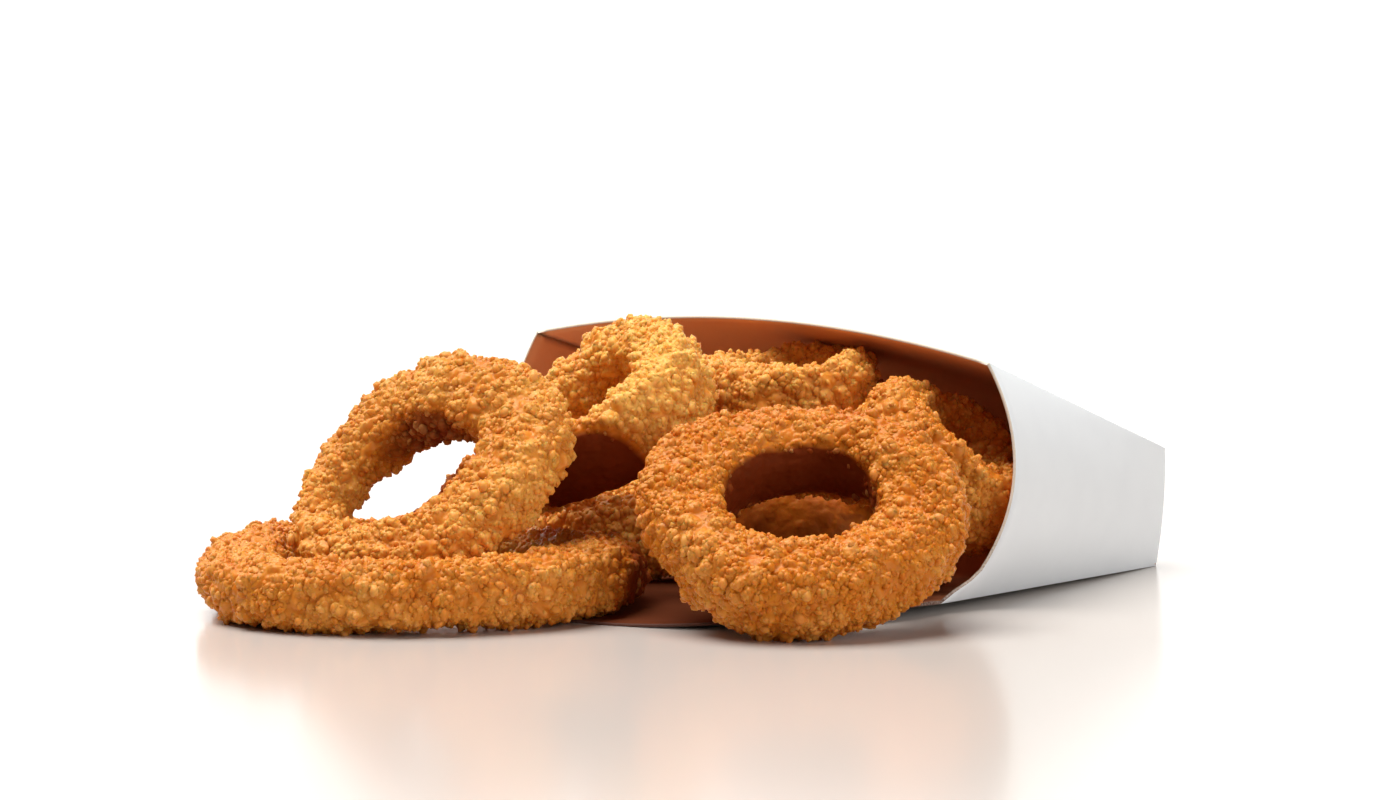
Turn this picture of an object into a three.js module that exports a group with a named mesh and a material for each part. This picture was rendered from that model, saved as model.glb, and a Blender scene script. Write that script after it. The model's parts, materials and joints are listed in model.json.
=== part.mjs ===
// A side of onion rings: eight breaded rings spilling from a paperboard scoop carton
// that lies on its tall back panel. Millimetres, +Z up, standing on z = 0.
import * as THREE from 'three';

// ---- driving dimensions: the carton -------------------------------------------------
const BOARD = 0.6;              // thickness of the folded board
const MOUTH_WIDTH = 125.8;      // between the two side creases at the mouth
const BASE_WIDTH = 105;         // between the two side creases at the closed end
const BACK_LENGTH = 70.3;       // mouth line to closed end along the lying back panel
const FRONT_LENGTH = 73.8;      // the same along the raised front panel
const MOUTH_HEIGHT = 48.3;
const BASE_HEIGHT = 25;
const MOUTH_BOW = 6;            // rise of the front panel between its creases
const BASE_BOW = 1;
const SIDE_BULGE = 8;           // outward swell of a side panel at the mouth
const SIDE_BULGE_BASE = 0.8;
const SIDE_CUT = 11;            // how far a side panel's lower edge leads its upper one
const CORNER_CUT = 7.2;         // the last steep run of that edge into the tongue
const TONGUE = 58.8;            // reach of the back panel past its side panels
const TONGUE_POWER = 2.4;       // 2 is an ellipse, more is squarer shoulders
const FLAT_SHARE = 0.35;        // middle share of the back panel that lies flat
const LIFT_AT_TIP = 5;          // how high the back panel's sides curl off the table
const LIFT_AT_MOUTH = 2;
const BASE_DISH = 1.5;          // inward dish of the closed end
const CARTON_AXIS = 47.7;       // degrees from +X to the line from mouth to closed end
const MOUTH_CENTRE = [11.0, 92.9];

// ---- driving dimensions: the rings ---------------------------------------------------
// centre of the band; lean is the tilt of the ring's axis from upright toward a compass
// direction; long and short are the radii of the band's middle line; wall is its
// thickness and band its height; bold thickens the wall toward one side of the ring.
const RINGS = {
  ring_1: { centre: [-56.0, 41.4, 7.1], lean: 0.3, toward: 90, long: 36, short: 33,
    wall: 15.5, band: 13.2, warp: 0.5, seed: 6, steps: [68, 14] },
  ring_2: { centre: [-55.7, 43.3, 25.7], lean: 47, toward: 230, long: 23, short: 19.8,
    wall: 16, band: 12.5, warp: 1, seed: 7, steps: [54, 14], bold: 0.3, boldAt: -15 },
  ring_3: { centre: [-20.3, 64.6, 35.6], lean: 38.3, toward: 215, long: 17.8, short: 14.5,
    wall: 12, band: 18.5, warp: 0.8, seed: 8, steps: [46, 16], bold: 0.12, boldAt: 20 },
  ring_4: { centre: [19.2, 19.4, 21.2], lean: 32, toward: 270, long: 22.7, short: 21.5,
    wall: 17.5, band: 16.5, warp: 0.8, seed: 9, steps: [54, 15] },
  ring_5: { centre: [18.6, 83.1, 38.9], lean: 4.2, toward: 215, long: 14.3, short: 12.5,
    wall: 9.5, band: 16.5, warp: 0.4, seed: 20, steps: [40, 14] },
  ring_6: { centre: [48.9, 61.1, 26.8], lean: 40, toward: 338, long: 14.2, short: 13,
    wall: 10.5, band: 19, warp: 0.6, seed: 21, steps: [40, 15] },
  ring_7: { centre: [20.3, 67.0, 12.7], lean: 6, toward: 95, long: 15, short: 14,
    wall: 10.5, band: 20, warp: 1, seed: 12, steps: [36, 12] },
  ring_8: { centre: [-13.0, 94.6, 11.3], lean: 1, toward: 270, long: 15.5, short: 14.5,
    wall: 12, band: 17, warp: 1, seed: 13, steps: [36, 12] },
};
const SECTION_POWER = 2.5;      // 2 is an oval band section, more is boxier
const LOBE = 0.035;             // unevenness of a ring's outline, share of its radius
const UNEVEN = 0.1;             // unevenness of its wall and band
const CRAG = 0.5;               // height of the breading's lumps
const CRAG_WAVES = 7;
const CRAG_LENGTHS = [6, 10];   // shortest and longest spacing of the lumps
const TABLE_GAP = 0.05;         // a ring on the table is pressed flat this far above it
const BOARD_GAP = 0.35;         // a ring on the board is pressed flat this far above it
const EDGE_CLEARANCE = 6;       // it already clears the board this far outside its edge

const COLOURS = {
  board: new THREE.Color(0.86, 0.86, 0.86),
  crust: new THREE.Color(0.76, 0.42, 0.13),
};

const radians = THREE.MathUtils.degToRad;
const lerp = THREE.MathUtils.lerp;
const smooth = (x) => THREE.MathUtils.smoothstep(x, 0, 1);

// ---- the carton ------------------------------------------------------------------------
const along = [Math.cos(radians(CARTON_AXIS)), Math.sin(radians(CARTON_AXIS))];
const across = [along[1], -along[0]];

function halfWidth(a) {
  return lerp(MOUTH_WIDTH, BASE_WIDTH, a / BACK_LENGTH) / 2;
}

// Height of the front panel at a along the carton and k across it, k = -1..1.
function frontHeight(a, k) {
  const share = a / FRONT_LENGTH;
  const bow = lerp(MOUTH_BOW, BASE_BOW, share) * (1 - k * k);
  return lerp(MOUTH_HEIGHT, BASE_HEIGHT, share) + bow;
}

// Height of the back panel: flat in the middle, curling up toward its side creases.
function backHeight(a, k) {
  const edge = -CORNER_CUT - SIDE_CUT;
  const lift = a < edge
    ? lerp(LIFT_AT_MOUTH, LIFT_AT_TIP, (edge - a) / TONGUE)
    : lerp(LIFT_AT_MOUTH, 0, (a - edge) / (BACK_LENGTH - edge));
  const out = Math.max(0, (Math.abs(k) - FLAT_SHARE) / (1 - FLAT_SHARE));
  return lift * out * out;
}

function bulge(a, m) {
  const share = THREE.MathUtils.clamp(a / BACK_LENGTH, -0.4, 1);
  return lerp(SIDE_BULGE, SIDE_BULGE_BASE, share) * 4 * m * (1 - m);
}

// Where the mouth's cut edge runs: on a side panel, and round the tongue.
function sideEdge(m) {
  return -SIDE_CUT * m ** 2.2 - CORNER_CUT * smooth((m - 0.88) / 0.12);
}

function tongueEdge(k) {
  const reach = Math.sqrt(Math.max(0, 1 - Math.abs(k) ** TONGUE_POWER));
  return -CORNER_CUT - SIDE_CUT - TONGUE * reach;
}

// A point of the carton's wall. panel and p give the place round the carton, q runs
// from the mouth's edge (0) to the closed end (1), inset moves it in from the outside.
function cartonPoint(panel, p, q, inset) {
  let a, c, z;
  if (panel === 'front') {
    a = (FRONT_LENGTH - inset) * q;
    c = p * (halfWidth(a) - inset);
    z = frontHeight(a, p) - inset;
  } else if (panel === 'back') {
    a = lerp(tongueEdge(p), BACK_LENGTH - inset, q);
    c = p * (halfWidth(a) - inset);
    z = backHeight(a, p) + inset;
  } else {
    const end = lerp(FRONT_LENGTH, BACK_LENGTH, p) - inset;
    const side = panel === 'right' ? 1 : -1;
    a = lerp(sideEdge(p), end, q);
    c = side * (halfWidth(a) + bulge(a, p) - inset);
    z = lerp(frontHeight(a, 1) - inset, backHeight(a, 1) + inset, p);
  }
  return [
    MOUTH_CENTRE[0] + along[0] * a + across[0] * c,
    MOUTH_CENTRE[1] + along[1] * a + across[1] * c,
    z,
  ];
}

// The loop of stations round the carton, each a panel and a place on it.
function cartonLoop() {
  const stations = [];
  const add = (panel, count, place) => {
    for (let i = 0; i < count; i++) stations.push([panel, place(i / count)]);
  };
  add('front', 14, (s) => -1 + 2 * s);
  add('right', 12, (s) => s);
  add('back', 28, (s) => Math.cos(Math.PI * s));
  add('left', 12, (s) => 1 - s);
  return stations;
}

function buildCarton() {
  const loop = cartonLoop();
  const rows = 7;
  const n = loop.length;
  const points = [];
  for (const inset of [0, BOARD]) {
    for (let r = 0; r <= rows; r++) {
      for (const [panel, p] of loop) points.push(cartonPoint(panel, p, r / rows, inset));
    }
  }
  const outer = (r, i) => r * n + (i % n);
  const inner = (r, i) => (rows + 1 + r) * n + (i % n);
  const faces = [];
  const quad = (a, b, c, d) => faces.push(a, b, c, a, c, d);
  for (let i = 0; i < n; i++) {
    for (let r = 0; r < rows; r++) {
      quad(outer(r, i), outer(r, i + 1), outer(r + 1, i + 1), outer(r + 1, i));
      quad(inner(r, i), inner(r + 1, i), inner(r + 1, i + 1), inner(r, i + 1));
    }
    quad(outer(0, i), inner(0, i), inner(0, i + 1), outer(0, i + 1));
  }
  closeEnd(points, faces, (i) => outer(rows, i), n, BACK_LENGTH - BASE_DISH, true);
  closeEnd(points, faces, (i) => inner(rows, i), n, BACK_LENGTH - BASE_DISH - BOARD, false);
  return meshGeometry(points, faces);
}

// A fan from one dished middle point closes the carton's end.
function closeEnd(points, faces, index, n, reach, outward) {
  const middle = points.length;
  points.push([
    MOUTH_CENTRE[0] + along[0] * reach,
    MOUTH_CENTRE[1] + along[1] * reach,
    BASE_HEIGHT / 2,
  ]);
  for (let i = 0; i < n; i++) {
    if (outward) faces.push(middle, index(i), index(i + 1));
    else faces.push(middle, index(i + 1), index(i));
  }
}

// ---- the rings ---------------------------------------------------------------------------
// Small seeded generator, so that each ring is uneven in its own way every time.
function seededRandom(seed) {
  let state = seed >>> 0;
  return () => {
    state = (state + 0x6d2b79f5) >>> 0;
    let t = Math.imul(state ^ (state >>> 15), 1 | state);
    t = (t + Math.imul(t ^ (t >>> 7), 61 | t)) ^ t;
    return ((t ^ (t >>> 14)) >>> 0) / 4294967296;
  };
}

// Slow unevenness round a ring: two, three and four waves, each with its own start.
function unevenness(random, sizes) {
  const starts = sizes.map(() => random() * 2 * Math.PI);
  return (angle) => sizes.reduce(
    (sum, size, i) => sum + size * Math.cos((i + 2) * angle + starts[i]), 0);
}

// Lumps of the breading: waves of several lengths that cross the band in all directions.
function crags(random) {
  const waves = [];
  for (let i = 0; i < CRAG_WAVES; i++) {
    const direction = new THREE.Vector3().setFromSphericalCoords(
      1, Math.acos(2 * random() - 1), random() * 2 * Math.PI);
    const spacing = lerp(CRAG_LENGTHS[0], CRAG_LENGTHS[1], random());
    waves.push({ push: direction.multiplyScalar(2 * Math.PI / spacing), start: random() * 6.3 });
  }
  const height = CRAG * 2 / Math.sqrt(CRAG_WAVES);
  return (p) => waves.reduce((sum, w) => sum + Math.sin(p.dot(w.push) + w.start), 0)
    * height / 2;
}

// Quaternion that leans a ring's upright axis by lean degrees toward a compass direction.
function leaning(lean, toward) {
  const hinge = new THREE.Vector3(-Math.sin(radians(toward)), Math.cos(radians(toward)), 0);
  return new THREE.Quaternion().setFromAxisAngle(hinge, radians(lean));
}

// How low a ring may reach at x, y: the table, or the carton's board where it lies.
function supportHeight(x, y) {
  const dx = x - MOUTH_CENTRE[0];
  const dy = y - MOUTH_CENTRE[1];
  const a = dx * along[0] + dy * along[1];
  const k = (dx * across[0] + dy * across[1]) / halfWidth(a);
  const onBoard = Math.abs(k) < 1 && a > tongueEdge(k) - EDGE_CLEARANCE;
  return onBoard ? backHeight(a, k) + BOARD + BOARD_GAP : TABLE_GAP;
}

function buildRing(ring) {
  const random = seededRandom(ring.seed);
  const outline = unevenness(random, [0, LOBE, LOBE / 2]);
  const drop = unevenness(random, [ring.warp, ring.warp * 0.45, ring.warp * 0.2]);
  const wallChange = unevenness(random, [UNEVEN, UNEVEN * 0.6, UNEVEN * 0.3]);
  const bandChange = unevenness(random, [UNEVEN * 0.6, UNEVEN * 0.5, UNEVEN * 0.3]);
  const lumps = crags(random);
  const turn = leaning(ring.lean, ring.toward);
  const centre = new THREE.Vector3(...ring.centre);
  const [around, section] = ring.steps;
  const power = 2 / SECTION_POWER;
  const bend = (v) => Math.sign(v) * Math.abs(v) ** power;
  const points = [];
  for (let i = 0; i < around; i++) {
    const angle = (i / around) * 2 * Math.PI;
    const bold = (ring.bold ?? 0) * Math.cos(angle - radians(ring.boldAt ?? 0));
    const wall = ring.wall * (1 + wallChange(angle) + bold);
    const band = ring.band * (1 + bandChange(angle));
    const swell = 1 + outline(angle);
    const middle = new THREE.Vector3(
      ring.long * swell * Math.cos(angle), ring.short * swell * Math.sin(angle), drop(angle));
    for (let j = 0; j < section; j++) {
      const turnRound = (j / section) * 2 * Math.PI;
      const out = bend(Math.cos(turnRound)) * wall / 2;
      const up = bend(Math.sin(turnRound)) * band / 2;
      const push = new THREE.Vector3(out * Math.cos(angle), out * Math.sin(angle), up);
      const p = middle.clone().add(push);
      p.add(push.normalize().multiplyScalar(lumps(p)));
      p.applyQuaternion(turn).add(centre);
      p.z = Math.max(p.z, supportHeight(p.x, p.y));
      points.push(p.toArray());
    }
  }
  const at = (i, j) => (i % around) * section + (j % section);
  const faces = [];
  for (let i = 0; i < around; i++) {
    for (let j = 0; j < section; j++) {
      faces.push(at(i, j), at(i + 1, j), at(i + 1, j + 1));
      faces.push(at(i, j), at(i + 1, j + 1), at(i, j + 1));
    }
  }
  return meshGeometry(points, faces);
}

// ---- assembly ------------------------------------------------------------------------------
function meshGeometry(points, faces) {
  const geometry = new THREE.BufferGeometry();
  geometry.setAttribute('position', new THREE.Float32BufferAttribute(points.flat(), 3));
  geometry.setIndex(faces);
  geometry.computeVertexNormals();
  return geometry;
}

function addMesh(group, name, geometry, material) {
  const mesh = new THREE.Mesh(geometry, material);
  mesh.name = name;
  group.add(mesh);
}

const model = new THREE.Group();
addMesh(model, 'carton', buildCarton(),
  new THREE.MeshStandardMaterial({ color: COLOURS.board, roughness: 0.55, metalness: 0 }));
for (const [name, ring] of Object.entries(RINGS)) {
  addMesh(model, name, buildRing(ring),
    new THREE.MeshStandardMaterial({ color: COLOURS.crust, roughness: 0.6, metalness: 0 }));
}

// The origin is under the middle of the whole side, on the table.
const box = new THREE.Box3().setFromObject(model);
const middle = box.getCenter(new THREE.Vector3());
model.position.set(-middle.x, -middle.y, -box.min.z);

export default model;
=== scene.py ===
# A side of onion rings in a paperboard scoop carton that lies on its back panel.
# The sections follow the dish as it is put together: carton, crusts, crumbs, table and light.
# Sizes are in millimetres where no other unit is named.
import json
import math

import bmesh
import bpy
import numpy as np
from mathutils import Matrix, Vector, noise

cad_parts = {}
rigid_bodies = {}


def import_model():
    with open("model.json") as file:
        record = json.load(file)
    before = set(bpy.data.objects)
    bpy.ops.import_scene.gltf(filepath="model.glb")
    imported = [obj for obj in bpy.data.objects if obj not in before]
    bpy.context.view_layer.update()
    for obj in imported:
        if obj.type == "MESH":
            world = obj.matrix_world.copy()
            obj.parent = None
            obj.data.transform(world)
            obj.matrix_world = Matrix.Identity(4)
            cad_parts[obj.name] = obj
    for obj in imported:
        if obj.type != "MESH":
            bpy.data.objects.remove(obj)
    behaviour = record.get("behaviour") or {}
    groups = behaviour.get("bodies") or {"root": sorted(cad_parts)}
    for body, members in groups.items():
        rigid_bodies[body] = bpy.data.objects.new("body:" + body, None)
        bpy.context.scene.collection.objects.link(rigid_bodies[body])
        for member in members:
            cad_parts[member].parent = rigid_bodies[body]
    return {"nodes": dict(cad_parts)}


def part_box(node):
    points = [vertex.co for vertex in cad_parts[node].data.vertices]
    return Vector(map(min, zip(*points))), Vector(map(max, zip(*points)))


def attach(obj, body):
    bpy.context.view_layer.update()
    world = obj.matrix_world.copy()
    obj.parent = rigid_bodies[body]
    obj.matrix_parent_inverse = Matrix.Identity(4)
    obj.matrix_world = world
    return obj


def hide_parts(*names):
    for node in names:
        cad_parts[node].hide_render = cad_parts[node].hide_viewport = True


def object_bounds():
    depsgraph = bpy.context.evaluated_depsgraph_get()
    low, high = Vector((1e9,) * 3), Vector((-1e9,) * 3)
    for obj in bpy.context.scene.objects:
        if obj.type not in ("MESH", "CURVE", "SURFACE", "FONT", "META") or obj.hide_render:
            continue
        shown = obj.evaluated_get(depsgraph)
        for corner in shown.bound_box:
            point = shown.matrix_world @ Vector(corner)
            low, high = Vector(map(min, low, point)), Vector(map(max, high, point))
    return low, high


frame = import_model()
cad_low, cad_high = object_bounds()
MM = 0.001


# ---- The scoop carton ---------------------------------------------------------------
# One blank of folding boxboard, white clay coat outside and bare brown fibre inside. It is
# scored, folded along four creases and glued at the closed end; its mouth is die cut.
BOARD = 0.6   # thickness of the board
MOUTH_WIDTH = 125.8   # between the side creases at the mouth
BASE_WIDTH = 105   # the same at the closed end
BACK_LENGTH = 70.3   # mouth line to closed end along the lying back panel
FRONT_LENGTH = 73.8   # the same along the front panel, which is on top
MOUTH_HEIGHT = 48.3
BASE_HEIGHT = 25
MOUTH_BOW = 6   # how far the front panel's middle stands above its creases, at the mouth
BASE_BOW = 1
SIDE_BULGE = 8   # how far a side panel's middle stands out, at the mouth
SIDE_BULGE_BASE = 0.8
BULGE_LIMIT = -0.4   # the bulge grows no more this far past the mouth, in panel lengths
SIDE_CUT = 11   # how far a side panel's lower edge leads its upper one
SIDE_CUT_POWER = 2.2
CORNER_CUT = 7.2   # the last steep run of that edge into the tongue
CORNER_START = 0.88   # where that run starts, as a share of the way down
TONGUE = 58.8   # reach of the back panel past its side panels
TONGUE_POWER = 2.4   # 2 is an ellipse, more is squarer shoulders
FLAT_SHARE = 0.35   # of the back panel's width, in the middle, that lies flat
LIFT_AT_TIP = 5   # how far its long edges are off the table, at the tongue's tip
LIFT_AT_MOUTH = 2
BASE_DISH = 1.5   # how far the closed end is pushed in
CARTON_TURN = math.radians(47.7)   # of its length, from +X toward +Y
PANEL_ROWS = 28
PANEL_WELD = 0.02
CREASE_RADIUS = 0.7
CREASE_ANGLE = math.radians(35)   # a sharper edge than this is a crease
# Round the tongue, where the rings shade it, the bare board and its cut edge are painted darker:
# painted shade.
RING_SHADE_PLACE = Vector((-8, -38, -10)) * MM
RING_SHADE_FULL = 66   # distance from that place at which the painted shade starts to fade
RING_SHADE_END = 84
RING_SHADE_RAGGED = 24   # how much the cloud pattern pushes its border about


def mix(start, end, share):
    return start + (end - start) * share


def ease(share):
    share = min(max(share, 0.0), 1.0)
    return share * share * (3 - 2 * share)


def half_width(a):
    """Half the carton's width at a distance in from the mouth line."""
    return mix(MOUTH_WIDTH, BASE_WIDTH, a / BACK_LENGTH) / 2


def front_height(a, p):
    """Height of the bowed front panel, p from -1 to 1 across it."""
    share = a / FRONT_LENGTH
    return mix(MOUTH_HEIGHT, BASE_HEIGHT, share) + mix(MOUTH_BOW, BASE_BOW, share) * (1 - p * p)


def back_height(a, p):
    """Height of the back panel, which curls up toward its long edges."""
    edge = -CORNER_CUT - SIDE_CUT
    lift = mix(LIFT_AT_MOUTH, LIFT_AT_TIP, (edge - a) / TONGUE)
    if a >= edge:
        lift = mix(LIFT_AT_MOUTH, 0, (a - edge) / (BACK_LENGTH - edge))
    return lift * max(0, (abs(p) - FLAT_SHARE) / (1 - FLAT_SHARE)) ** 2


def front_panel(p, q):
    """A place on the front panel, q from 0 at the mouth to 1 at the closed end."""
    a = FRONT_LENGTH * q
    return a, p * half_width(a), front_height(a, p)


def back_panel(p, q):
    """A place on the back panel, from the rounded tongue's edge to the closed end."""
    tip = -CORNER_CUT - SIDE_CUT - TONGUE * math.sqrt(max(0, 1 - abs(p) ** TONGUE_POWER))
    a = mix(tip, BACK_LENGTH, q)
    return a, p * half_width(a), back_height(a, p)


def side_panel(side, m, q):
    """A place on a side panel, m from 0 at its upper crease to 1 at its lower one."""
    corner = ease((m - CORNER_START) / (1 - CORNER_START))
    cut = -SIDE_CUT * m**SIDE_CUT_POWER - CORNER_CUT * corner
    a = mix(cut, mix(FRONT_LENGTH, BACK_LENGTH, m), q)
    share = min(max(a / BACK_LENGTH, BULGE_LIMIT), 1)
    swell = mix(SIDE_BULGE, SIDE_BULGE_BASE, share) * 4 * m * (1 - m)
    return a, side * (half_width(a) + swell), mix(front_height(a, 1), back_height(a, 1), m)


def add_panel(shell, across, place):
    """A flat grid, its corners at -1 and 1, pushed into the shape of one panel."""
    grid = bmesh.ops.create_grid(shell, x_segments=across, y_segments=PANEL_ROWS, size=1)
    for corner in grid["verts"]:
        corner.co = Vector(place(corner.co.x, (corner.co.y + 1) / 2))


def build_carton():
    """The folded carton as one skin, without the board's thickness yet."""
    shell = bmesh.new()
    add_panel(shell, 40, front_panel)
    add_panel(shell, 60, lambda x, q: back_panel(math.sin(x * math.pi / 2), q))
    add_panel(shell, 24, lambda x, q: side_panel(1, (x + 1) / 2, q))
    add_panel(shell, 24, lambda x, q: side_panel(-1, (x + 1) / 2, q))
    bmesh.ops.remove_doubles(shell, verts=shell.verts, dist=PANEL_WELD)
    open_edges = [e for e in shell.edges if e.is_boundary]
    rim = [e for e in open_edges if min(v.co.x for v in e.verts) > BACK_LENGTH - 1]
    end = bmesh.ops.edgeloop_fill(shell, edges=rim)["faces"]
    middle = bmesh.ops.poke(shell, faces=end)["verts"][0]
    middle.co = Vector((BACK_LENGTH - BASE_DISH, 0, BASE_HEIGHT / 2))
    bmesh.ops.recalc_face_normals(shell, faces=shell.faces)
    creases = [e for e in shell.edges if not e.is_boundary and e.calc_face_angle() > CREASE_ANGLE]
    bmesh.ops.bevel(shell, geom=creases, offset=CREASE_RADIUS, segments=3, profile=0.5,
                    affect="EDGES", material=-1, clamp_overlap=True)
    for face in shell.faces:
        face.smooth = True
    mesh = bpy.data.meshes.new("scoop_carton")
    shell.to_mesh(mesh)
    shell.free()
    # the panels are laid out with the carton's right along +Y, so they are mirrored first
    mesh.transform(Matrix.Scale(-1, 4, (0, 1, 0)))
    mesh.flip_normals()
    mesh.transform(Matrix.Scale(MM, 4) @ Matrix.Rotation(CARTON_TURN, 4, "Z"))
    return mesh


def piece(mesh):
    """An object of a mesh, in the scene, under the mesh's name."""
    obj = bpy.data.objects.new(mesh.name, mesh)
    bpy.context.scene.collection.objects.link(obj)
    return obj


def linear(colour):
    """An sRGB hex colour as linear red, green, blue and alpha."""
    parts = [int(colour[i:i + 2], 16) / 255 for i in (1, 3, 5)]
    return [p / 12.92 if p <= 0.04045 else ((p + 0.055) / 1.055) ** 2.4 for p in parts] + [1]


def put(tree, kind, inputs=None, **settings):
    """Adds a node, sets its settings, and sets or links each named or numbered input."""
    node = tree.nodes.new(kind)
    for name, value in settings.items():
        setattr(node, name, value)
    for name, value in (inputs or {}).items():
        if isinstance(value, bpy.types.NodeSocket):
            tree.links.new(value, node.inputs[name])
        else:
            node.inputs[name].default_value = value
    return node


def new_material(name):
    """An empty material, its node tree and its Principled shader."""
    material = bpy.data.materials.new(name)
    material.use_nodes = True
    tree = material.node_tree
    tree.nodes.clear()
    shader = put(tree, "ShaderNodeBsdfPrincipled")
    put(tree, "ShaderNodeOutputMaterial", {"Surface": shader.outputs[0]})
    return material, tree, shader


def coated_board():
    """Clay-coated white board: satin, with the faint mottle of fibres under the coat."""
    material, tree, shader = new_material("clay_coated_white_board")
    place = put(tree, "ShaderNodeTexCoord").outputs["Object"]
    mottle = put(tree, "ShaderNodeTexNoise", {"Vector": place, "Scale": 1 / (9 * MM), "Detail": 4})
    tone = put(tree, "ShaderNodeMix", {"Factor": mottle.outputs[0], 6: linear("#E5EAEF"),
                                       7: linear("#EDF2F6")}, data_type="RGBA")
    fibre = put(tree, "ShaderNodeTexNoise", {"Vector": place, "Scale": 1 / (0.5 * MM), "Detail": 3})
    bump = put(tree, "ShaderNodeBump", {"Height": fibre.outputs[0], "Strength": 0.12,
                                        "Distance": 0.05 * MM})
    tree.links.new(tone.outputs[2], shader.inputs["Base Color"])
    tree.links.new(bump.outputs[0], shader.inputs["Normal"])
    shader.inputs["Roughness"].default_value = 0.42
    shader.inputs["Specular IOR Level"].default_value = 0.4
    return material


def painted_ring_shade(tree, place, clouds, tone):
    """A colour darkened round the middle of the tongue, where the rings shade it: painted shade."""
    near = put(tree, "ShaderNodeVectorMath", {0: place, 1: RING_SHADE_PLACE}, operation="DISTANCE")
    ragged = put(tree, "ShaderNodeMath", {0: clouds.outputs[0], 1: RING_SHADE_RAGGED * MM,
                                          2: near.outputs["Value"]}, operation="MULTIPLY_ADD")
    shade_share = put(tree, "ShaderNodeMapRange", {"Value": ragged.outputs[0], 1: RING_SHADE_FULL * MM,
                                             2: RING_SHADE_END * MM, 3: 0.92, 4: 0.0})
    return put(tree, "ShaderNodeMix", {"Factor": shade_share.outputs[0], 6: tone.outputs[2],
                                       7: linear("#541F0C")}, data_type="RGBA").outputs[2]


def bare_board():
    """Uncoated brown board: matt wood fibre, uneven in tone, with painted shade round the tongue
    where the rings shade it.
    """
    material, tree, shader = new_material("bare_brown_board")
    place = put(tree, "ShaderNodeTexCoord").outputs["Object"]
    clouds = put(tree, "ShaderNodeTexNoise", {"Vector": place, "Scale": 1 / (22 * MM), "Detail": 3})
    flecks = put(tree, "ShaderNodeTexNoise", {"Vector": place, "Scale": 1 / (0.8 * MM),
                                              "Detail": 4})
    clouded = put(tree, "ShaderNodeMix", {"Factor": clouds.outputs[0], 6: linear("#D2885C"),
                                          7: linear("#E6A274")}, data_type="RGBA")
    tone = put(tree, "ShaderNodeMix", {"Factor": flecks.outputs[0], 6: clouded.outputs[2],
                                       7: linear("#DE9E72")}, data_type="RGBA")
    bump = put(tree, "ShaderNodeBump", {"Height": flecks.outputs[0], "Strength": 0.25,
                                        "Distance": 0.06 * MM})
    tree.links.new(painted_ring_shade(tree, place, clouds, tone), shader.inputs["Base Color"])
    tree.links.new(bump.outputs[0], shader.inputs["Normal"])
    shader.inputs["Roughness"].default_value = 0.9
    shader.inputs["Specular IOR Level"].default_value = 0.02
    return material


def cut_edge():
    """The die-cut edge of the board, where the pale fibre core shows."""
    material, tree, shader = new_material("cut_board_edge")
    place = put(tree, "ShaderNodeTexCoord").outputs["Object"]
    grain = put(tree, "ShaderNodeTexNoise", {"Vector": place, "Scale": 1 / (0.4 * MM), "Detail": 3})
    tone = put(tree, "ShaderNodeMix", {"Factor": grain.outputs[0], 6: linear("#D2C3B0"),
                                       7: linear("#EAE1D6")}, data_type="RGBA")
    # painted shade round the tongue, as on the bare board
    tree.links.new(painted_ring_shade(tree, place, grain, tone), shader.inputs["Base Color"])
    shader.inputs["Roughness"].default_value = 0.7
    shader.inputs["Specular IOR Level"].default_value = 0.2
    return material


carton = piece(build_carton())
for finish in (coated_board(), bare_board(), cut_edge()):
    carton.data.materials.append(finish)
# the board grows inward from the white skin, its inner side brown and its cut edges pale
board = carton.modifiers.new("board", "SOLIDIFY")
board.thickness = BOARD * MM
board.offset = -1
board.use_even_offset = True
board.material_offset = 1
board.material_offset_rim = 2
# its far right corner goes where the carton's solid has it
solid_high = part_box("carton")[1]
right = max(corner.co.x for corner in carton.data.vertices)
far = max(corner.co.y for corner in carton.data.vertices)
carton.data.transform(Matrix.Translation(Vector((solid_high.x - right, solid_high.y - far, 0))))
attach(carton, "root")
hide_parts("carton")


# ---- The rings' crust ---------------------------------------------------------------
# Slices of onion dipped in batter and rolled in bread crumbs, then deep fried. The batter
# swells in lumps, and the crumbs that are fused into it stand up as clumps with finer grains.
LUMP_SIZE = 8
LUMP_HEIGHT = 0.6
NUB_SIZE = 3.3   # the clumps of crumb
NUB_HEIGHT = 1.35
NUB_GROOVE = 0.45   # width of the groove round a clump, as a share of its size
NUB_DRIFT = 0.5   # how far clumps are pushed about, which makes them uneven
DRIFT_SIZE = 2
DRIFT_SEED = 5
GRAIN_SIZE = 1.3
GRAIN_HEIGHT = 0.5
GRAIN_GROOVE = 0.6
CRUST_SINK = 0.65   # taken off all over, so that the relief stands evenly about the solid
PATCH_SIZE = 4.2   # of the patches that have fewer crumbs
BALD_RISE = 0.48   # where a bald patch counts as lying in the relief, from 0 to 1
SOLID_WELD = 0.01
BROWNED = (0.35, 1.45)   # from golden to brown, where RINGS' frying, the wide noise and the dark patches' painted shade add up
DEEP_SHADE_RANGE = (1.7, 2.4)   # from brown to the dark red-brown of painted shade, likewise; it is reached mostly in the dark patches
RINGS = {   # fineness of the crust's mesh, least distance between crumbs, how far it is fried
    "ring_1": (0.42, 0.97, 0.75),
    "ring_2": (0.36, 0.93, 0.4),
    "ring_3": (0.34, 0.93, -0.2),
    "ring_4": (0.36, 0.93, 0.85),
    "ring_5": (0.34, 0.93, 0.25),
    "ring_6": (0.34, 0.93, 0.6),
    "ring_7": (0.42, 1.3, 1.0),
    "ring_8": (0.36, 0.95, 0.1),
}
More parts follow.
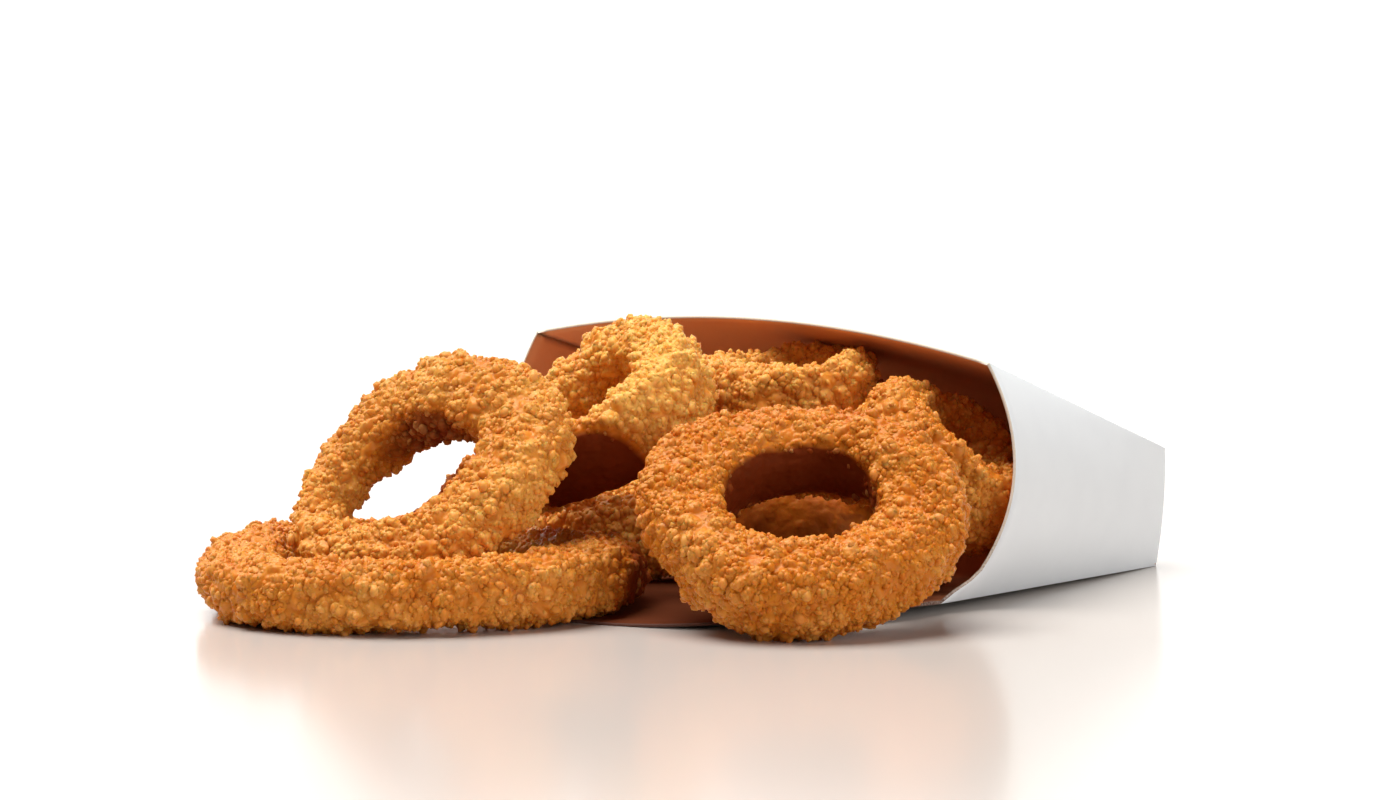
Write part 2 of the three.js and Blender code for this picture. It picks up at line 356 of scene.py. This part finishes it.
# Hole walls, recesses and places under other rings, where shade falls: the crust there is darkened
# with painted shade, and some patches are left bald.
SHADE_PATCHES = {   # middle, radius where it is full, where it ends, how bald, how much painted shade
    "ring_1": (Vector((-8, -48, 5)), 5, 19, 0.7, 1.3),
    "ring_2": (Vector((-55.5, -43, 25.7)), 12.5, 17, 0.0, 1.4),
    "ring_3": (Vector((-22, -42, 20)), 13, 19, 1.0, 2.3),
    "ring_4": (Vector((19.3, -66, 21.5)), 13.2, 17.2, 1.0, 1.6),
    "ring_7": (Vector((20, -36, 22)), 12, 20, 1.0, 0.5),
}


def apply_modifiers(obj):
    """Makes an object's modifiers part of its mesh."""
    seen = obj.evaluated_get(bpy.context.evaluated_depsgraph_get())
    mesh = bpy.data.meshes.new_from_object(seen)
    old = obj.data
    obj.modifiers.clear()
    obj.data = mesh
    bpy.data.meshes.remove(old)


def bumps(spot, size, groove):
    """The height, from 0 to 1.3, of domed cells of one size with grooves between them."""
    distances, centres = noise.voronoi(spot / size)
    own = 0.5 + 0.5 * noise.noise(centres[0] * 7.3)   # each cell has its own height
    side = ease((distances[1] - distances[0]) / groove)
    return max(0.0, 1 - (distances[0] / 0.9) ** 2) * (0.35 + 0.65 * side) * (0.5 + 0.8 * own)


def crust_height(place, seed, patch):
    """How far the crust stands out at a place, how high that is in its relief and how much of it
    is crumb, both from 0 to 1, and how much painted shade a dark patch lays on it.
    The seed picks each ring's own stretch of the noise."""
    spot = place / MM + Vector((seed * 31.7, seed * 17.3, seed * 11.9))
    bald, browning_and_shade = 0, 0
    if patch:
        # a patch takes crumbs away and lays painted shade on the crust
        middle, full, none, bareness, shade_depth = patch
        share = ease((none - (place / MM - middle).length) / (none - full))
        bald, browning_and_shade = bareness * share, shade_depth * share
    lump = noise.noise(spot / LUMP_SIZE)
    nub = bumps(spot + noise.noise_vector(spot / DRIFT_SIZE) * NUB_DRIFT, NUB_SIZE, NUB_GROOVE)
    grain = bumps(spot, GRAIN_SIZE, GRAIN_GROOVE)
    crumbed = ease(0.92 + noise.noise(spot / PATCH_SIZE + Vector((9, 9, 9)))) * (1 - bald)
    height = LUMP_HEIGHT * lump + NUB_HEIGHT * nub * (1 - 0.8 * bald)
    height += GRAIN_HEIGHT * grain * (0.3 + 0.7 * crumbed)
    rise = mix(0.1 + 0.2 * lump + 0.7 * nub + 0.3 * grain, BALD_RISE, bald)
    return height - CRUST_SINK, min(max(rise, 0), 1), crumbed, browning_and_shade


def build_crust(name, fineness, fried, seed):
    """A rounded copy of the ring's solid with the crust's lumps, clumps and grains on it."""
    mesh = frame["nodes"][name].data.copy()
    mesh.name = name + "_crust"
    ring = piece(mesh)
    work = bmesh.new()
    work.from_mesh(mesh)
    bmesh.ops.remove_doubles(work, verts=work.verts, dist=SOLID_WELD * MM)
    work.to_mesh(mesh)
    work.free()
    mesh.materials.clear()
    rounding = ring.modifiers.new("rounding", "SUBSURF")
    rounding.levels = rounding.render_levels = 2
    even = ring.modifiers.new("even", "REMESH")
    even.mode = "VOXEL"
    even.voxel_size = fineness * MM
    apply_modifiers(ring)
    mesh = ring.data
    patch = SHADE_PATCHES.get(name)
    reads = [crust_height(corner.co, seed, patch) for corner in mesh.vertices]
    moved = [v.co + v.normal * (read[0] * MM) for v, read in zip(mesh.vertices, reads)]
    mesh.vertices.foreach_set("co", np.ravel(moved))
    # the fried attribute holds the ring's frying plus the dark patches' painted shade
    looks = {"rise": [read[1] for read in reads], "crumbed": [read[2] for read in reads],
             "fried": [fried + read[3] for read in reads]}
    for label, values in looks.items():
        attribute = mesh.attributes.new(label, "FLOAT", "POINT")
        attribute.data.foreach_set("value", np.array(values, np.float32))
    mesh.update()
    mesh.shade_smooth()
    return ring


def layered(tree, colour, layers):
    """A colour with others laid over it in turn, each by a share that runs from start to end
    while its value goes from low to high."""
    for value, low, high, start, end, over in layers:
        share = put(tree, "ShaderNodeMapRange", {"Value": value, 1: low, 2: high, 3: start, 4: end})
        colour = put(tree, "ShaderNodeMix", {"Factor": share.outputs[0], 6: colour, 7: over},
                     data_type="RGBA").outputs[2]
    return colour


def fried_crust():
    """Fried batter and crumb: orange and oily where smooth, golden where crumbs stand up, with
    painted shade that makes the folds amber, a painted highlight that makes the tips paler, and
    dark red-brown, dull painted shade in the dark patches. Light goes a little way in, which warms
    it."""
    material, tree, shader = new_material("fried_batter_and_crumb")
    place = put(tree, "ShaderNodeTexCoord").outputs["Object"]
    rise = put(tree, "ShaderNodeAttribute", attribute_name="rise").outputs["Fac"]
    crumbed = put(tree, "ShaderNodeAttribute", attribute_name="crumbed").outputs["Fac"]
    tint = put(tree, "ShaderNodeAttribute", attribute_name="tint").outputs["Fac"]
    fried = put(tree, "ShaderNodeAttribute", attribute_name="fried").outputs["Fac"]
    wide = put(tree, "ShaderNodeTexNoise", {"Vector": place, "Scale": 1 / (16 * MM), "Detail": 2})
    fine = put(tree, "ShaderNodeTexNoise", {"Vector": place, "Scale": 1 / (0.7 * MM), "Detail": 4})
    browning_and_shade = put(tree, "ShaderNodeMath", {0: wide.outputs[0], 1: 1.1, 2: fried},
                  operation="MULTIPLY_ADD").outputs[0]
    grit = fine.outputs[0]
    # batter and crumb brown with frying; their last, dark red-brown layer is painted shade in the
    # dark patches
    batter = layered(tree, linear("#E8942E"), [(browning_and_shade, *BROWNED, 0, 1, linear("#C46810")),
                                               (browning_and_shade, *DEEP_SHADE_RANGE, 0, 1, linear("#6A2408"))])
    crumb = layered(tree, linear("#F8BC62"), [(browning_and_shade, *BROWNED, 0, 1, linear("#CE7C20")),
                                              (browning_and_shade, *DEEP_SHADE_RANGE, 0, 1, linear("#8A3A10"))])
    skin = layered(tree, batter, [(crumbed, 0, 1, 0.1, 0.95, crumb),
                                  (grit, 0.3, 0.6, 0.4, 0, batter)])
    # painted shade in the folds: amber, and dark red-brown in the dark patches
    fold_shade = layered(tree, linear("#C46C1C"), [(browning_and_shade, *DEEP_SHADE_RANGE, 0, 1, linear("#5A1E06"))])
    # the folds' painted shade comes first, then the skin as the relief rises, then the tips'
    # painted highlight, then each loose crumb's own toasted or pale tint
    colour = layered(tree, fold_shade, [(rise, 0, 0.45, 0, 1, skin),
                                  (rise, 0.5, 1.1, 0, 0.22, linear("#F4C078")),
                                  (tint, -1, -0.3, 0.2, 0, linear("#A04E0C")),
                                  (tint, 0.2, 1, 0, 0.22, linear("#F3C678"))])
    # how far the dark patches' painted shade has gone; there the surface is also duller and less
    # glossy
    deep_shade = put(tree, "ShaderNodeMapRange", {"Value": browning_and_shade, 1: DEEP_SHADE_RANGE[0],
                                                2: DEEP_SHADE_RANGE[1]}).outputs[0]
    gloss = put(tree, "ShaderNodeMapRange", {"Value": grit, 1: 0.3, 2: 0.7, 3: 0.28, 4: 0.45})
    dull = put(tree, "ShaderNodeMath", {0: deep_shade, 1: 0.3, 2: gloss.outputs[0]},
               operation="MULTIPLY_ADD")
    oily = put(tree, "ShaderNodeMapRange", {"Value": deep_shade, 3: 0.3, 4: 0.12})
    bump = put(tree, "ShaderNodeBump", {"Height": grit, "Strength": 0.3, "Distance": 0.2 * MM})
    tree.links.new(colour, shader.inputs["Base Color"])
    tree.links.new(dull.outputs[0], shader.inputs["Roughness"])
    tree.links.new(oily.outputs[0], shader.inputs["Specular IOR Level"])
    tree.links.new(bump.outputs[0], shader.inputs["Normal"])
    shader.inputs["Specular Tint"].default_value = linear("#FFE9B8")
    shader.inputs["Subsurface Weight"].default_value = 0.55
    shader.inputs["Subsurface Radius"].default_value = (1.0, 0.4, 0.12)
    shader.inputs["Subsurface Scale"].default_value = 0.9 * MM
    return material


noise.seed_set(DRIFT_SEED)   # without it the clumps' drift differs each time
crust_finish = fried_crust()


# ---- The crumbs ---------------------------------------------------------------------
# Bread crumbs on the crust, blunt grains of 1.4 to 3.2 mm that are fused in a little way. They
# lie thick where the crust is crumbed and leave its bald patches bare. A ring's are one mesh.
CRUMB_KINDS = 16
CRUMB_LARGEST = 2.8
CRUMB_SMALLEST = 0.42   # as a share of the largest
CRUMB_USUAL = 0.66   # 85 in 100 are smaller than this share
CRUMB_SINK = 0.3
CRUMB_LIMIT = 4e6   # to a square metre, more than their least distance lets stand


def crumb_kinds(count, seed):
    """A few irregular, blunt-edged crumbs about one unit across, as objects to scatter."""
    luck = np.random.default_rng(seed)
    kinds = bpy.data.collections.new("crumb_kinds")
    for i in range(count):
        work = bmesh.new()
        bmesh.ops.create_icosphere(work, subdivisions=1, radius=0.5)
        for corner in work.verts:
            corner.co *= luck.uniform(0.85, 1.15)
        flat = (1.15, luck.uniform(0.75, 1), luck.uniform(0.6, 0.9))
        bmesh.ops.scale(work, vec=flat, verts=work.verts)
        mesh = bpy.data.meshes.new("crumb_kind_%02d" % i)
        work.to_mesh(mesh)
        work.free()
        mesh.shade_smooth()
        kinds.objects.link(bpy.data.objects.new(mesh.name, mesh))
    return kinds


def crumb_scatter(kinds):
    """Nodes that lay crumbs on a crust, thick where it is crumbed, and make them a mesh."""
    tree = bpy.data.node_groups.new("crumb_scatter", "GeometryNodeTree")
    for label, kind in (("Geometry", "Geometry"), ("Distance", "Float"), ("Seed", "Int")):
        tree.interface.new_socket(label, in_out="INPUT", socket_type="NodeSocket" + kind)
    tree.interface.new_socket("Geometry", in_out="OUTPUT", socket_type="NodeSocketGeometry")
    given = put(tree, "NodeGroupInput").outputs
    crumbed = put(tree, "GeometryNodeInputNamedAttribute", {"Name": "crumbed"}, data_type="FLOAT")
    spread = put(tree, "GeometryNodeDistributePointsOnFaces",
                 {"Mesh": given["Geometry"], "Distance Min": given["Distance"],
                  "Density Max": CRUMB_LIMIT, "Density Factor": crumbed.outputs[0],
                  "Seed": given["Seed"]}, distribute_method="POISSON")
    spin = put(tree, "FunctionNodeRandomValue", {0: (0, 0, 0), 1: (math.tau, math.tau, math.tau)},
               data_type="FLOAT_VECTOR")
    luck = put(tree, "FunctionNodeRandomValue", {2: 0.0, 3: 1.0, "Seed": 3}, data_type="FLOAT")
    girth = put(tree, "ShaderNodeFloatCurve", {"Value": luck.outputs[1]})
    curve = girth.mapping.curves[0]
    curve.points[0].location = (0, CRUMB_SMALLEST)
    curve.points[1].location = (1, 1.0)
    curve.points.new(0.85, CRUMB_USUAL)
    size = put(tree, "ShaderNodeMath", {0: girth.outputs[0], 1: CRUMB_LARGEST * MM},
               operation="MULTIPLY")
    sink = put(tree, "ShaderNodeVectorMath", {0: spread.outputs["Normal"],
                                              "Scale": -CRUMB_SINK * MM}, operation="SCALE")
    sunk = put(tree, "GeometryNodeSetPosition", {"Geometry": spread.outputs["Points"],
                                                 "Offset": sink.outputs[0]})
    shapes = put(tree, "GeometryNodeCollectionInfo",
                 {"Collection": kinds, "Separate Children": True, "Reset Children": True})
    laid = put(tree, "GeometryNodeInstanceOnPoints",
               {"Points": sunk.outputs[0], "Instance": shapes.outputs[0],
                "Pick Instance": True, "Rotation": spin.outputs[0], "Scale": size.outputs[0]})
    stored = laid.outputs[0]
    for label, seed, low, high in (("tint", 7, -1, 1), ("crumbed", 9, 0.5, 1)):
        chance = put(tree, "FunctionNodeRandomValue", {2: low, 3: high, "Seed": seed},
                     data_type="FLOAT")
        stored = put(tree, "GeometryNodeStoreNamedAttribute",
                     {"Geometry": stored, "Name": label, "Value": chance.outputs[1]},
                     data_type="FLOAT", domain="INSTANCE").outputs[0]
    real = put(tree, "GeometryNodeRealizeInstances", {"Geometry": stored})
    put(tree, "NodeGroupOutput", {0: real.outputs[0]})
    return tree


kinds = crumb_kinds(CRUMB_KINDS, seed=3)
scatter = crumb_scatter(kinds)
sockets = {s.name: s.identifier for s in scatter.interface.items_tree if s.in_out == "INPUT"}
for number, (name, (fineness, distance, fried)) in enumerate(RINGS.items()):
    crust = build_crust(name, fineness, fried, seed=number + 1)
    crumbs = piece(crust.data.copy())
    crumbs.name = name + "_crumbs"
    laying = crumbs.modifiers.new("laying", "NODES")
    laying.node_group = scatter
    laying[sockets["Distance"]] = distance * MM
    laying[sockets["Seed"]] = number + 1
    apply_modifiers(crumbs)
    for part in (crust, crumbs):
        part.data.materials.clear()
        part.data.materials.append(crust_finish)
        part.data.name = part.name
        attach(part, "root")
    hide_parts(name)
for kind in list(kinds.objects):
    bpy.data.objects.remove(kind)
bpy.data.collections.remove(kinds)


# ---- Table, light and camera --------------------------------------------------------
# A glossy pale table top before a lit white backdrop that it mirrors. A wide soft light hangs
# above, a little to the left, and a weaker one stands at the front right. The camera stands
# back with a long lens.
TABLE_WIDTH = 8   # metres, as the three below are
TABLE_FRONT = 2.2
TABLE_BACK = 3.2
BACKDROP_HEIGHT = 2.4
LENS = 115
SENSOR = 36
FAR_CLIP = 50   # metres
CAMERA_BACK = 826.67
CAMERA_HEIGHT = 121.57
CAMERA_SIDE = 0.15
CAMERA_PITCH = math.radians(5.2)


def stage_board(name, corners, material):
    """A flat four-cornered piece of the stage."""
    shape = bmesh.new()
    shape.faces.new([shape.verts.new(corner) for corner in corners])
    mesh = bpy.data.meshes.new(name)
    shape.to_mesh(mesh)
    shape.free()
    board = piece(mesh)
    board.data.materials.append(material)


laminate, tree, shader = new_material("glossy_pale_laminate")
shader.inputs["Base Color"].default_value = linear("#CDC5BF")
shader.inputs["Roughness"].default_value = 0.18
side = TABLE_WIDTH / 2
stage_board("table_top", [(-side, -TABLE_FRONT, 0), (side, -TABLE_FRONT, 0),
                          (side, TABLE_BACK, 0), (-side, TABLE_BACK, 0)], laminate)
glow, tree, shader = new_material("lit_white_backdrop")
shader.inputs["Base Color"].default_value = linear("#808080")
shader.inputs["Emission Color"].default_value = linear("#FFFFFF")
shader.inputs["Emission Strength"].default_value = 1.2
stage_board("backdrop", [(-side, TABLE_BACK, 0), (side, TABLE_BACK, 0),
                         (side, TABLE_BACK, BACKDROP_HEIGHT),
                         (-side, TABLE_BACK, BACKDROP_HEIGHT)], glow)


def add_softbox(name, strength, spread, direction, colour):
    """A light from far off, its spread in degrees, that shines in a direction."""
    lamp = bpy.data.lights.new(name, "SUN")
    lamp.energy = strength
    lamp.angle = math.radians(spread)
    lamp.color = linear(colour)[:3]
    softbox = bpy.data.objects.new(name, lamp)
    softbox.rotation_mode = "QUATERNION"
    softbox.rotation_quaternion = Vector(direction).to_track_quat("-Z", "Y")
    bpy.context.scene.collection.objects.link(softbox)


add_softbox("top_softbox", 4.75, 50, (0.3, -0.1, -0.94), "#FFFEFB")
add_softbox("front_softbox", 1.3, 50, (-0.7, 0.6, -0.3), "#FFFFFF")

world = bpy.data.worlds.new("pale_studio")
bpy.context.scene.world = world
world.use_nodes = True
world.node_tree.nodes["Background"].inputs[0].default_value = linear("#FFEDD9")
world.node_tree.nodes["Background"].inputs[1].default_value = 0.15
bpy.context.scene.view_settings.view_transform = "Standard"

lens = bpy.data.cameras.new("camera")
lens.lens = LENS
lens.sensor_width = SENSOR
lens.clip_end = FAR_CLIP
camera = bpy.data.objects.new("camera", lens)
bpy.context.scene.collection.objects.link(camera)
middle_x = (cad_low.x + cad_high.x) / 2
camera.location = (middle_x + CAMERA_SIDE * MM, cad_low.y - CAMERA_BACK * MM, CAMERA_HEIGHT * MM)
camera.rotation_euler = (math.pi / 2 - CAMERA_PITCH, 0, 0)
bpy.context.scene.camera = camera
